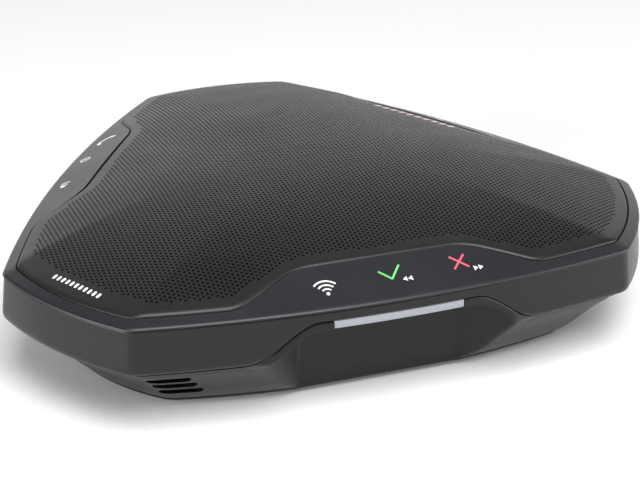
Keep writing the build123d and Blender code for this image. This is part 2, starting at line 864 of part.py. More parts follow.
with BuildPart() as mic_capsule:
    with BuildSketch(side_plane(0, long_reach - mic_inset)) as capsule_plan:
        with Locations(mic_place):
            Circle(2.0)
    extrude(amount=1.2)

repeated = {
    "light_bar": light_bar,
    "led_board": led_board,
    "touch_board": touch_board,
    "mic_board": mic_board,
    "mic_capsule": mic_capsule,
}
for name, piece in repeated.items():
    for turn in range(3):
        turned(piece.part, name, turn)
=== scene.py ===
import json
import math

import bmesh
import bpy
import numpy as np
from mathutils import Matrix, Vector
from mathutils.geometry import delaunay_2d_cdt


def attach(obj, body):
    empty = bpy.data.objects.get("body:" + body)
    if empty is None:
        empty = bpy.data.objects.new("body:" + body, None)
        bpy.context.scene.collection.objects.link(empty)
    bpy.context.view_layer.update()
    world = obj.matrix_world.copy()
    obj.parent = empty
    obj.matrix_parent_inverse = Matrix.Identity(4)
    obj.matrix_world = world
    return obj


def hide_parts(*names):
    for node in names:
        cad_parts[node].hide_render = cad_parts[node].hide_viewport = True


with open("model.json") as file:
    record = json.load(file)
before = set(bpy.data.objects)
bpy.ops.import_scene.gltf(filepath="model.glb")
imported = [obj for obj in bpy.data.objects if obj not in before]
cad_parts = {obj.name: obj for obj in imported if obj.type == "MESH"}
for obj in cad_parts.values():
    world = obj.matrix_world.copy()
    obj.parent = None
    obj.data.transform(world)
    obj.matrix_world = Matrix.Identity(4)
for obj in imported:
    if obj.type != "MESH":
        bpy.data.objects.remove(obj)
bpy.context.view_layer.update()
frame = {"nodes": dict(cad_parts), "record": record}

MM = 0.001
COS30 = math.cos(math.radians(30))
SHARP_ANGLE = math.radians(32)

# ---------------------------------------------------------------- driving dimensions, in mm
LONG_DISTANCE = 81.9
SHORT_DISTANCE = 113.5
LONG_BULGE = 8.26
SHORT_BULGE = 3.96
LONG_RADIUS = 429.2         # of a long side's and a short side's bulge
SHORT_RADIUS = 108.2
CORNER = 7.0
LONG_REACH = LONG_DISTANCE + LONG_BULGE
BASE_Z = 1.5
FLOOR_Z = 4.0
PARTING_Z = 23.0
ARCH_Z = 34.7
BAND_TOP_Z = 36.7
RIM_SEAM_Z = 37.55          # the band's face is drawn up to just under the frame's rounded rim
RIM_Z = 38.5
DOME_RISE = 16.2
DOME_POWER = 2.4
GRILLE_LIFT = 0.5
SEAM = 0.3
BAND_FLARE = 1.1
SLOPE = math.tan(math.radians(22.5))
BORDER = 4.0
PANEL_OUTER_HALF = 51.35
PANEL_INNER_HALF = 27.4
PANEL_DEPTH = 17.7
ARCH_FOOT = 49.5
ARCH_HEAD = 25.8
LIP = 2.8
POCKET_HALF = 27.7
POCKET_MOUTH_HALF = 45.5
POCKET_TOP = 15.5
POCKET_BOTTOM = 17.8
BAR_HALF = 21.6
BAR_DEPTH = 6.0
BAR_GAP = 0.15
RECESS_HALF = BAR_HALF + BAR_GAP
CASE_TOP_Z = 22.7
# lower case sections: height, inset of the long sides, inset of the short sides, corner radius
CASE_LEVELS = np.array(
    (
        (BASE_Z, 19.0, 24.0, 12.5),
        (6.5, 12.0, 17.8, 11.2),
        (12.0, 7.9, 13.1, 9.8),
        (17.5, 4.2, 7.6, 8.4),
        (CASE_TOP_Z, 0.7, 1.6, CORNER),
    )
)
SHADOW_GAP = 0.55           # extra opening of the seam under the band's lower edge
SLOT_PLACES = ((-71.4, 17.2), (-68.9, 13.7), (-66.4, 10.0))
SLOT_LENGTH = 13.5
SLOT_HEIGHT = 2.5
PORT_Z = 13.5
PORT_WIDTH = 36.2
PORT_HEIGHT = 11.2
SCREW_REACH = 80.0
SCREW_SPREAD = 10.0
SCREW_HEAD_RADIUS = 3.2
GROOVE_OUTER = 60.1         # foot ring's groove
GROOVE_INNER = 53.9
GROOVE_Z = 2.4
DOOR_HALF = (39.25, 25.25)  # battery door's recess and the battery's opening above it
BATTERY_HALF = (30.6, 22.6)
BATTERY_SHIFT = -6.0
DOOR_SEAT_Z = BASE_Z + 2.1
ROOM_INSET = 27.0           # farthest in that the case's inner wall goes
HOLE_PITCH = 1.62
HOLE_RADIUS = 0.50
HOLE_DEPTH = 1.1
ROLL_WIDTH = 1.8            # rolled edge of the grille
PLAIN_MARGIN = 4.4          # unperforated border of the grille
LABEL_MARGIN = 8.2          # the same along the left short side

# ---------------------------------------------------------------- camera
LENS = 86.78
CAMERA_AZIMUTH = math.radians(-19.80)
CAMERA_ELEVATION = math.radians(25.08)
CAMERA_DISTANCE = 567.1
PAN_RIGHT = 5.49
PAN_UP = 17.11
ROLL = math.radians(0.126)


def make_camera():
    """Camera left of the near long side's middle, looking down on the top."""
    az, el = CAMERA_AZIMUTH, CAMERA_ELEVATION
    back = Vector((math.sin(az) * math.cos(el), -math.cos(az) * math.cos(el), math.sin(el)))
    right = Vector((math.cos(az), math.sin(az), 0.0))
    up = back.cross(right)
    place = (back * CAMERA_DISTANCE + right * PAN_RIGHT + up * PAN_UP) * MM
    turn = Matrix((right, up, back)).transposed().to_4x4() @ Matrix.Rotation(ROLL, 4, "Z")
    data = bpy.data.cameras.new("camera")
    data.lens = LENS
    data.sensor_width = 36.0
    data.clip_start = 0.01
    camera = bpy.data.objects.new("camera", data)
    camera.matrix_world = Matrix.Translation(place) @ turn
    bpy.context.scene.collection.objects.link(camera)
    bpy.context.scene.camera = camera


make_camera()


# ---------------------------------------------------------------- materials
class Nodes:
    """A material's node tree with short calls for the nodes used here."""

    def __init__(self, name):
        self.material = bpy.data.materials.new(name)
        self.material.use_nodes = True
        self.tree = self.material.node_tree
        self.shader = self.tree.nodes["Principled BSDF"]
        self.coords = self.tree.nodes.new("ShaderNodeTexCoord").outputs["Object"]

    def add(self, kind, inputs=None, **options):
        node = self.tree.nodes.new(kind)
        for key, value in options.items():
            setattr(node, key, value)
        for key, value in (inputs or {}).items():
            if isinstance(value, bpy.types.NodeSocket):
                self.tree.links.new(value, node.inputs[key])
            else:
                node.inputs[key].default_value = value
        return node

    def noise(self, scale, detail=2.0, roughness=0.5):
        values = {"Vector": self.coords, "Scale": scale, "Detail": detail, "Roughness": roughness}
        return self.add("ShaderNodeTexNoise", values).outputs["Fac"]

    def spread(self, source, low, high, start=0.3, stop=0.7):
        values = {"Value": source, "From Min": start, "From Max": stop, "To Min": low, "To Max": high}
        return self.add("ShaderNodeMapRange", values).outputs["Result"]

    def tint(self, source, dark, light):
        mixer = self.add("ShaderNodeMix", data_type="RGBA")
        self.tree.links.new(source, mixer.inputs["Factor"])
        mixer.inputs["A"].default_value = (*dark, 1.0)
        mixer.inputs["B"].default_value = (*light, 1.0)
        return mixer.outputs["Result"]

    def bump(self, source, strength, distance, below=None):
        values = {"Height": source, "Strength": strength, "Distance": distance}
        if below is not None:
            values["Normal"] = below
        return self.add("ShaderNodeBump", values).outputs["Normal"]

    def join(self, **sockets):
        for key, value in sockets.items():
            socket = self.shader.inputs[key.replace("_", " ")]
            if isinstance(value, bpy.types.NodeSocket):
                self.tree.links.new(value, socket)
            else:
                socket.default_value = value
        return self.material


def moulded(name, dark, light, rough, grain=0.05, scale=2600.0, specular=0.5):
    """Fine-textured moulded plastic: spark-eroded grain, faint mottling and gloss variation."""
    n = Nodes(name)
    fine = n.noise(scale, 3.0, 0.6)
    cloudy = n.noise(38.0, 4.0, 0.55)
    return n.join(
        Base_Color=n.tint(cloudy, dark, light),
        Roughness=n.spread(cloudy, rough[0], rough[1]),
        Normal=n.bump(fine, grain, 0.0001),
        Specular_IOR_Level=specular,
    )


def metal(name, dark, light, rough, lines=900.0):
    """Plated or turned metal with fine streaks."""
    n = Nodes(name)
    streak = n.noise(lines, 4.0, 0.7)
    return n.join(
        Base_Color=n.tint(streak, dark, light),
        Roughness=n.spread(streak, rough[0], rough[1]),
        Normal=n.bump(streak, 0.06, 0.00008),
        Metallic=1.0,
    )


def woven(name, dark, light, scale=1500.0):
    """Thin acoustic cloth with a fine weave."""
    n = Nodes(name)
    parts = n.add("ShaderNodeSeparateXYZ", {"Vector": n.coords})
    waves = []
    for axis in ("X", "Y"):
        scaled = n.add("ShaderNodeMath", {0: parts.outputs[axis], 1: scale * 6.0}, operation="MULTIPLY")
        waves.append(n.add("ShaderNodeMath", {0: scaled.outputs[0]}, operation="SINE").outputs[0])
    weave = n.add("ShaderNodeMath", {0: waves[0], 1: waves[1]}, operation="MULTIPLY").outputs[0]
    return n.join(
        Base_Color=n.tint(n.spread(weave, 0.0, 1.0, -1.0, 1.0), dark, light),
        Roughness=0.95,
        Specular_IOR_Level=0.1,
        Normal=n.bump(weave, 0.3, 0.0001),
    )


def frosted(name, dark, light, glow, strength):
    """Frosted light guide, lit from behind."""
    n = Nodes(name)
    cloudy = n.noise(120.0, 2.0, 0.5)
    colour = n.tint(cloudy, dark, light)
    return n.join(
        Base_Color=colour,
        Roughness=n.spread(cloudy, 0.32, 0.42),
        Emission_Color=(*glow, 1.0),
        Emission_Strength=strength,
        Normal=n.bump(n.noise(1800.0), 0.04, 0.0001),
    )


def board(name):
    """Green solder resist with a faint pattern of tracks."""
    n = Nodes(name)
    cells = n.add("ShaderNodeTexVoronoi", {"Vector": n.coords, "Scale": 420.0}, feature="DISTANCE_TO_EDGE")
    track = n.spread(cells.outputs["Distance"], 0.0, 1.0, 0.02, 0.08)
    return n.join(
        Base_Color=n.tint(track, (0.05, 0.22, 0.08), (0.015, 0.10, 0.04)),
        Roughness=n.spread(n.noise(60.0), 0.28, 0.42),
        Normal=n.bump(track, 0.15, 0.0001),
    )


def glowing_ink(name, colour):
    """Screen-printed ink with a painted glow: the ink emits a little of its own colour, so the print shows
    brighter than the lamps alone make it.
    """
    n = Nodes(name)
    speck = n.noise(2200.0, 2.0, 0.6)
    dark = tuple(c * 0.88 for c in colour)
    return n.join(
        Base_Color=n.tint(speck, dark, colour),
        Roughness=n.spread(speck, 0.5, 0.62),
        # painted glow: emission on the print, which gives off no light of its own
        Emission_Color=(*colour, 1.0),
        Emission_Strength=0.12,
    )


LOOKS = {
    "frame_plastic": moulded(
        "frame_plastic", (0.0105, 0.0112, 0.0140), (0.0125, 0.0133, 0.0165), (0.36, 0.42), 0.10
    ),
    "band_plastic": moulded(
        "band_plastic", (0.006, 0.006, 0.007), (0.008, 0.008, 0.009), (0.30, 0.36), 0.08, specular=0.36
    ),
    "case_plastic": moulded(
        "case_plastic", (0.005, 0.005, 0.006), (0.007, 0.007, 0.008), (0.30, 0.36), 0.08, specular=0.32
    ),
    "grille_metal": moulded(
        "grille_metal", (0.008, 0.008, 0.0085), (0.010, 0.010, 0.0105), (0.36, 0.42), 0.10, specular=0.44
    ),
    "cloth": woven("cloth", (0.002, 0.002, 0.002), (0.006, 0.006, 0.006)),
    "light_bar": frosted("light_bar", (0.23, 0.24, 0.26), (0.26, 0.27, 0.29), (0.80, 0.88, 1.0), 0.05),
    "inner_plastic": moulded("inner_plastic", (0.04, 0.04, 0.043), (0.05, 0.05, 0.054), (0.45, 0.6)),
    "circuit_board": board("circuit_board"),
    "component": moulded("component", (0.02, 0.02, 0.02), (0.03, 0.03, 0.03), (0.35, 0.5)),
    "steel": metal("steel", (0.45, 0.45, 0.46), (0.62, 0.62, 0.63), (0.22, 0.38)),
    "magnet": moulded("magnet", (0.05, 0.05, 0.055), (0.08, 0.08, 0.085), (0.5, 0.7), 0.3, 500.0),
    "coil": metal("coil", (0.5, 0.22, 0.09), (0.75, 0.36, 0.16), (0.25, 0.4)),
    "cone": woven("cone", (0.02, 0.02, 0.02), (0.045, 0.045, 0.045), 500.0),
    "rubber": moulded("rubber", (0.012, 0.012, 0.012), (0.02, 0.02, 0.02), (0.75, 0.9), 0.2, 1200.0, 0.3),
    "battery": moulded("battery", (0.03, 0.06, 0.16), (0.04, 0.08, 0.2), (0.2, 0.3)),
    "button": moulded("button", (0.05, 0.05, 0.053), (0.062, 0.062, 0.066), (0.3, 0.4)),
}
INKS = {
    "ink_white": glowing_ink("ink_white", (0.78, 0.78, 0.80)),
    "ink_green": glowing_ink("ink_green", (0.16, 0.58, 0.16)),
    "ink_red": glowing_ink("ink_red", (0.75, 0.10, 0.16)),
    "ink_rose": glowing_ink("ink_rose", (0.62, 0.47, 0.44)),
}
SLOTS = {entry["node"]: entry["material_slot"] for entry in frame["record"]["subparts"]}


def dress_nodes():
    """Every CAD node gets its slot's procedural material; the microphone boards behind the slots get the
    near-black component plastic instead, as painted shade that keeps the slots dark.
    """
    for name, node in frame["nodes"].items():
        # painted shade: near-black plastic on the microphone boards stands in for the shade inside the
        # slots
        look = "component" if name.startswith("mic_board") else SLOTS[name]
        node.data.materials.clear()
        node.data.materials.append(LOOKS[look])


dress_nodes()


# ---------------------------------------------------------------- plan of the rim
def corners(inset, short_inset):
    """Corner points of the plan, anticlockwise from the front left."""
    depth = LONG_DISTANCE - inset
    half = (SHORT_DISTANCE - short_inset - 0.5 * depth) / COS30
    points = []
    for turn in range(3):
        a = math.radians(120 * turn)
        spin = np.array([[math.cos(a), -math.sin(a)], [math.sin(a), math.cos(a)]])
        points += [spin @ np.array([-half, -depth]), spin @ np.array([half, -depth])]
    return points


def circle_of(start, end, bulge):
    """Centre and radius of the arc over a chord."""
    half = np.linalg.norm(end - start) / 2
    radius = (half**2 + bulge**2) / (2 * bulge)
    middle = (start + end) / 2
    out = middle / np.linalg.norm(middle)
    return middle + out * (bulge - radius), radius


def meet(c0, r0, c1, r1, near):
    """Crossing of two circles nearest a point."""
    gap = c1 - c0
    d = np.linalg.norm(gap)
    a = (r0**2 - r1**2 + d**2) / (2 * d)
    h = math.sqrt(max(r0**2 - a**2, 0.0))
    foot = c0 + gap * a / d
    side = np.array([-gap[1], gap[0]]) / d * h
    return min((foot + side, foot - side), key=lambda p: np.linalg.norm(p - near))


MIDDLE = 53.0            # half width of the stretch where columns keep their place along a long side
STEP = 0.8
BAR_EDGES = [side * (RECESS_HALF + past) for side in (-1, 1) for past in (-0.05, 0.07)]
PLACES = np.sort(np.append(np.arange(-MIDDLE, MIDDLE - 0.1, STEP), BAR_EDGES))
N_FLANK = int(26 / STEP)
N_CORNER = 14
N_SHORT = int(50 / STEP)
OFF_SIDE = 999.0         # place given to columns that are not on a long side


def plan_ring(inset, short_inset, corner):
    """Points of a plan outline, with the same columns at every inset."""
    points = corners(inset, short_inset)
    arcs = []
    for index in range(6):
        bulge = LONG_BULGE if index % 2 == 0 else SHORT_BULGE
        arcs.append(circle_of(points[index], points[(index + 1) % 6], bulge))
    fillets = []
    for index in range(6):
        (c0, r0), (c1, r1) = arcs[index - 1], arcs[index]
        centre = meet(c0, r0 - corner, c1, r1 - corner, points[index])
        touch0 = c0 + (centre - c0) / np.linalg.norm(centre - c0) * r0
        touch1 = c1 + (centre - c1) / np.linalg.norm(centre - c1) * r1
        fillets.append((centre, touch0, touch1))
    ring = []
    for index in range(6):
        centre, touch0, touch1 = fillets[index]
        a0 = math.atan2(*(touch0 - centre)[::-1])
        a1 = math.atan2(*(touch1 - centre)[::-1])
        a1 += 2 * math.pi if a1 < a0 else 0.0
        for step in range(N_CORNER):
            a = a0 + (a1 - a0) * step / N_CORNER
            ring.append(centre + corner * np.array([math.cos(a), math.sin(a)]))
        arc_centre, radius = arcs[index]
        end = fillets[(index + 1) % 6][1]
        b0 = math.atan2(*(touch1 - arc_centre)[::-1])
        b1 = math.atan2(*(end - arc_centre)[::-1])
        b1 += 2 * math.pi if b1 < b0 else 0.0
        if index % 2:
            angles = [b0 + (b1 - b0) * step / N_SHORT for step in range(N_SHORT)]
        else:
            mid = (b0 + b1) / 2
            m = math.asin(MIDDLE / radius)
            angles = [b0 + (mid - m - b0) * step / N_FLANK for step in range(N_FLANK)]
            angles += [mid + math.asin(x / radius) for x in PLACES]
            angles += [mid + m + (b1 - mid - m) * step / N_FLANK for step in range(N_FLANK)]
        for a in angles:
            ring.append(arc_centre + radius * np.array([math.cos(a), math.sin(a)]))
    return np.array(ring)


TABLE_LOW = -2.0
TABLE_STEP = 0.5
TABLE_INSETS = TABLE_LOW + TABLE_STEP * np.arange(60)


def case_ring(inset):
    """Outline of the lower case where its long sides have this inset."""
    long_insets = CASE_LEVELS[::-1, 1]
    extra = np.interp(inset, long_insets, CASE_LEVELS[::-1, 2] - long_insets)
    return plan_ring(inset, inset + extra, np.interp(inset, long_insets, CASE_LEVELS[::-1, 3]))


TABLE = np.array([plan_ring(inset, inset, CORNER) for inset in TABLE_INSETS])
CASE_TABLE = np.array([case_ring(inset) for inset in TABLE_INSETS])
COLUMNS = TABLE.shape[1]


def at_inset(insets, table=TABLE):
    """Plan points for one inset per column."""
    place = np.clip((np.broadcast_to(insets, COLUMNS) - TABLE_LOW) / TABLE_STEP, 0, len(TABLE) - 1.001)
    low = place.astype(int)
    part = (place - low)[:, None]
    columns = np.arange(COLUMNS)
    return table[low, columns] * (1 - part) + table[low + 1, columns] * part


def side_x():
    """Place of each column along the nearest long side, OFF_SIDE on the short sides."""
    ring = plan_ring(0.0, 0.0, CORNER)
    result = np.full(COLUMNS, OFF_SIDE)
    for turn in range(3):
        a = math.radians(120 * turn)
        along = ring @ np.array([math.cos(a), math.sin(a)])
        out = ring @ np.array([math.sin(a), -math.cos(a)])
        near = (out > LONG_DISTANCE - 2) & (np.abs(along) < 84.5)
        result[near] = along[near]
    return result


SIDE_X = side_x()
LONG_COLUMNS = SIDE_X < OFF_SIDE


def sag(x):
    """How far a long side's bulge has fallen back at a place along it."""
    return x * x / (2 * LONG_RADIUS)


def ease(x):
    x = np.clip(x, 0.0, 1.0)
    return x * x * (3 - 2 * x)


def soft_max(a, b, r):
    """Largest of two values with the corner between them rounded over r."""
    h = np.clip(0.5 + 0.5 * (a - b) / r, 0.0, 1.0)
    return b * (1 - h) + a * h + r * h * (1 - h)


def soft_min(a, b, r):
    return -soft_max(-a, -b, r)


def rows_to_mesh(name, rows):
    """Ring-shaped grid from loops of plan points and heights; the last row joins the first."""
    grid = np.array([np.column_stack((p, np.broadcast_to(z, COLUMNS))) for p, z in rows]) * MM
    count = len(rows)
    faces = []
    for r in range(count):
        s = (r + 1) % count
        for c in range(COLUMNS):
            d = (c + 1) % COLUMNS
            faces.append((r * COLUMNS + c, r * COLUMNS + d, s * COLUMNS + d, s * COLUMNS + c))
    mesh = bpy.data.meshes.new(name)
    mesh.from_pydata(grid.reshape(-1, 3).tolist(), [], faces)
    return mesh


def finish_mesh(mesh):
    """Outward normals, smooth faces, sharp edges by angle."""
    bm = bmesh.new()
    bm.from_mesh(mesh)
    bmesh.ops.dissolve_degenerate(bm, edges=bm.edges, dist=1e-7)
    bmesh.ops.recalc_face_normals(bm, faces=bm.faces)
    bm.to_mesh(mesh)
    bm.free()
    mesh.shade_smooth()
    mesh.set_sharp_from_angle(angle=SHARP_ANGLE)
    mesh.update()


def place_piece(mesh, look, body="housing", stands_for=()):
    """Object for a finished mesh, riding on its body."""
    piece = bpy.data.objects.new(mesh.name, mesh)
    bpy.context.scene.collection.objects.link(piece)
    mesh.materials.clear()
    mesh.materials.append(look)
    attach(piece, body)
    if stands_for:
        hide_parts(*stands_for)
    return piece


# ---------------------------------------------------------------- outer shells
def window_inset():
    """Inset of the grille's edge in each column: the border, or the inner edge of a panel."""
    x = np.abs(SIDE_X)
    line = PANEL_DEPTH - (x - PANEL_INNER_HALF) * (PANEL_DEPTH - BORDER + 0.9) / (
        PANEL_OUTER_HALF - PANEL_INNER_HALF
    )
    inner = PANEL_DEPTH - np.where(LONG_COLUMNS, sag(SIDE_X), 0.0)
    return soft_max(soft_min(line, inner, 3.0), np.full(COLUMNS, BORDER), 2.2)


WINDOW = window_inset()


def frame_z(inset):
    return RIM_Z + SLOPE * inset


def make_bezel():
    """Top frame: rounded rim edge, sloped border and panels, rounded window edge."""
    b = WINDOW - 0.22
    rows = []
    for inset, z in ((1.9, 37.70), (0.5, 37.68), (0.2, 37.71), (0.05, 37.80), (0.0, 37.92)):
        rows.append((at_inset(inset), z))
    for inset, z in ((0.04, 38.16), (0.16, 38.36), (0.36, 38.53)):
        rows.append((at_inset(inset), z))
    start = 0.62
    steps = 16
    for k in range(steps + 1):
        inset = start + (b - 0.45 - start) * (k / steps)
        rows.append((at_inset(inset), frame_z(inset) - 0.02))
    for back, drop in ((0.2, 0.02), (0.06, 0.12), (0.0, 0.3), (0.0, 1.5)):
        rows.append((at_inset(b - back), frame_z(b) - 0.05 - drop))
    for k in range(5):
        inset = b + (1.9 - b) * (k / 5)
        rows.append((at_inset(inset), frame_z(inset) - 1.5 - 0.8 * (1 - k / 5)))
    mesh = rows_to_mesh("bezel_shell", rows)
    finish_mesh(mesh)
    place_piece(mesh, LOOKS["frame_plastic"], stands_for=("top_bezel",))


def arch_z(drop=0.0):
    """Height of the parting line in each column, raised in an arch over each pocket."""
    x = np.abs(SIDE_X)
    rise = ease((ARCH_FOOT - x) / (ARCH_FOOT - ARCH_HEAD))
    return PARTING_Z - drop + (ARCH_Z - PARTING_Z) * rise, rise


def belt_inset(z):
    """Inset of the flared band's outer face at a height."""
    share = (BAND_TOP_Z - z) / (BAND_TOP_Z - PARTING_Z - 1.2)
    return 0.2 - (0.2 + BAND_FLARE) * np.clip(share, 0.0, 1.05)


def make_band():
    """Side band: flared face, softly rolled in along its lower edge."""
    low, rise = arch_z()
    roll = 0.45 + 2.3 * (1 - ease(rise * 3.0))
    rows = [(at_inset(2.0), RIM_SEAM_Z), (at_inset(0.5), RIM_SEAM_Z), (at_inset(0.28), RIM_SEAM_Z - 0.05)]
    rows.append((at_inset(0.2), RIM_SEAM_Z - 0.2))
    top = RIM_SEAM_Z - 0.8
    for k in range(9):
        z = top + (low + roll - top) * (k / 8)
        rows.append((at_inset(belt_inset(z)), z))
    for k in range(1, 8):
        a = math.radians(90) * k / 7
        z = low + roll * (1 - math.sin(a))
        rows.append((at_inset(belt_inset(z) + roll * 0.42 * (1 - math.cos(a))), z))
    rows.append((at_inset(belt_inset(low) + roll * 0.42 + 0.3), low))
    rows.append((at_inset(2.0), low))
    mesh = rows_to_mesh("band_shell", rows)
    finish_mesh(mesh)
    place_piece(mesh, LOOKS["band_plastic"], stands_for=("side_band",))


TAPER_FIT = np.polyfit(CASE_LEVELS[:, 0], CASE_LEVELS[:, 1], 4)
FACET_SPREAD = (POCKET_MOUTH_HALF - POCKET_HALF) / (POCKET_TOP - 1.0)


def case_taper(z):
    """Inset of the tapered tray at a height."""
    return np.polyval(TAPER_FIT, np.clip(z, BASE_Z, CASE_TOP_Z))


def case_reaches():
    """Distance from the axis to each long-side column, square to its side, at each table inset."""
    reach = np.zeros(CASE_TABLE.shape[:2])
    for turn in range(3):
        a = math.radians(120 * turn)
        out = CASE_TABLE @ np.array([math.sin(a), -math.cos(a)])
        reach = np.maximum(reach, out)
    return reach


CASE_REACHES = case_reaches()


def pocket_inset(z):
    """Inset of a finger pocket's walls in each column at a height, -9 away from the pockets."""
    heights = np.broadcast_to(z, COLUMNS)
    back = LONG_REACH - POCKET_TOP - (POCKET_BOTTOM - POCKET_TOP) * (ARCH_Z - heights) / (ARCH_Z + 1)
    facet = back + (np.abs(SIDE_X) - POCKET_HALF) / FACET_SPREAD
    reach = soft_max(back, facet, 0.6)
    result = np.full(COLUMNS, -9.0)
    for column in np.nonzero(LONG_COLUMNS)[0]:
        result[column] = np.interp(-reach[column], -CASE_REACHES[:, column], TABLE_INSETS, left=-9.0)
    return result


def scaled_ring(loop, radius):
    """The loop's directions at one radius."""
    return loop / np.linalg.norm(loop, axis=1)[:, None] * radius


def squared_ring(loop, half_x, half_y, shift=0.0):
    """The loop's directions on a round-cornered rectangle."""
    c, s = (loop / np.linalg.norm(loop, axis=1)[:, None]).T
    power = 24.0
    reach = (np.abs(c / half_x) ** power + np.abs(s / half_y) ** power) ** (-1 / power)
    return np.column_stack((c * reach + shift, s * reach))


def make_case():
    """Lower case: lips over the pockets, facets and tapered flanks, down to the flat base."""
    line, rise = arch_z(SEAM)
    x = np.abs(SIDE_X)
    on_arch = ease(rise * 2.5)
    line = line - SHADOW_GAP * (1 - on_arch)
    recess = np.where(x < RECESS_HALF, belt_inset(line) + BAR_DEPTH + BAR_GAP, -9.0)
    lip_height = LIP * ease((ARCH_FOOT + 1.0 - x) / 5.0)
    lip_z = line - lip_height
    rows = []

    def row(insets, z):
        rows.append((at_inset(insets, CASE_TABLE), z))

    def face(z):
        """Inset of the outer face above the pockets: the flank, or the lip flush with the band."""
        flank = case_taper(np.minimum(z, CASE_TOP_Z))
        return np.maximum(flank * (1 - on_arch) + belt_inset(z) * on_arch, recess)

    def lower(z):
        """Inset of the outer face from the lip's underside down."""
        return soft_max(pocket_inset(z), case_taper(z), 0.5)

    edge = face(line)
    row(edge + 2.0, line - 0.4)
    row(edge + 0.45, line)
    row(edge + 0.12, line - 0.08)
    row(edge, line - 0.35)
    steps = 4
    for k in range(1, steps + 1):
        z = line - 0.35 + (np.minimum(lip_z + 0.35, line - 0.36) - line + 0.35) * (k / steps)
        row(face(z), z)
    start = face(lip_z)
    row(start + 0.12, lip_z + 0.08)
    drop = 1.0 + 1.6 * (1 - on_arch)
    foot_z = lip_z - drop
    depth = lower(foot_z)
    for k in range(1, 9):
        share = k / 8
        curve = share + (share**3 - share) * on_arch
        row(start + 0.3 + (depth - start - 0.3) * share, lip_z - drop * curve)
    base_round = 1.8
    for k in range(1, 17):
        z = foot_z + (BASE_Z + base_round - foot_z) * (k / 16)
        row(lower(z), z)
    z = np.full(COLUMNS, BASE_Z + base_round)
    wall_inset = lower(z)
    for k in range(1, 7):
        a = math.radians(90) * k / 6
        row(wall_inset + base_round * 1.6 * (1 - math.cos(a)), z - base_round * math.sin(a))
    last = rows[-1][0]
    rows.append(((last * 2 + scaled_ring(last, GROOVE_OUTER + 0.5)) / 3, BASE_Z))
    for wall, out in ((GROOVE_OUTER, 0.2), (GROOVE_INNER, -0.2)):
        flare = [(wall + out, BASE_Z), (wall, BASE_Z + 0.2), (wall, GROOVE_Z)]
        for radius, height in flare if out > 0 else reversed(flare):
            rows.append((scaled_ring(last, radius), height))
    for widen, height in ((0.35, BASE_Z), (0.05, BASE_Z + 0.2), (0.0, DOOR_SEAT_Z)):
        rows.append((squared_ring(last, DOOR_HALF[0] + widen, DOOR_HALF[1] + widen), height))
    for height in (DOOR_SEAT_Z, FLOOR_Z):
        rows.append((squared_ring(last, *BATTERY_HALF, BATTERY_SHIFT), height))
    rows.append((scaled_ring(last, 50.0), FLOOR_Z))
    row(np.minimum(lower(6.0) + 5.0, ROOM_INSET), FLOOR_Z)
    for k in range(9):
        z = FLOOR_Z + 2.0 + (foot_z + 1.6 - FLOOR_Z - 2.0) * (k / 8)
        row(np.minimum(lower(z) + 2.0, ROOM_INSET), z)
    row(edge + 2.0, np.minimum(lip_z + 2.0, line - 0.6))
    mesh = rows_to_mesh("case_shell", rows)
    finish_mesh(mesh)
    return mesh


def side_matrix(turn, distance):
    """Frame on a long side: x along it, y up, z outwards."""
    a = math.radians(120 * turn)
    along = Vector((math.cos(a), math.sin(a), 0))
    out = Vector((math.sin(a), -math.cos(a), 0))
    frame_matrix = Matrix((along, Vector((0, 0, 1)), out)).transposed().to_4x4()
    return Matrix.Translation(out * distance * MM) @ frame_matrix


def stadium(cx, cy, length, height, count=8):
    """Outline of a slot with round ends, in mm."""
    r = height / 2
    points = []
    for side, start in ((1, -90), (-1, 90)):
        for k in range(count + 1):
            a = math.radians(start + 180 * k / count)
            points.append((cx + side * (length / 2 - r) + r * math.cos(a), cy + r * math.sin(a)))
    return points


def ring_points(cx, cy, radius, count=32):
    return [
        (cx + radius * math.cos(2 * math.pi * k / count), cy + radius * math.sin(2 * math.pi * k / count))
        for k in range(count)
    ]


def add_prism(bm, outline, low, high, matrix):
    """Closed prism over an outline, from low to high along the frame's z, all in mm."""
    rings = []
    for z in (low, high):
        rings.append([bm.verts.new(matrix @ Vector((x * MM, y * MM, z * MM))) for x, y in outline])
    count = len(outline)
    for k in range(count):
        j = (k + 1) % count
        bm.faces.new((rings[0][k], rings[0][j], rings[1][j], rings[1][k]))
    bm.faces.new(list(reversed(rings[0])))
    bm.faces.new(rings[1])


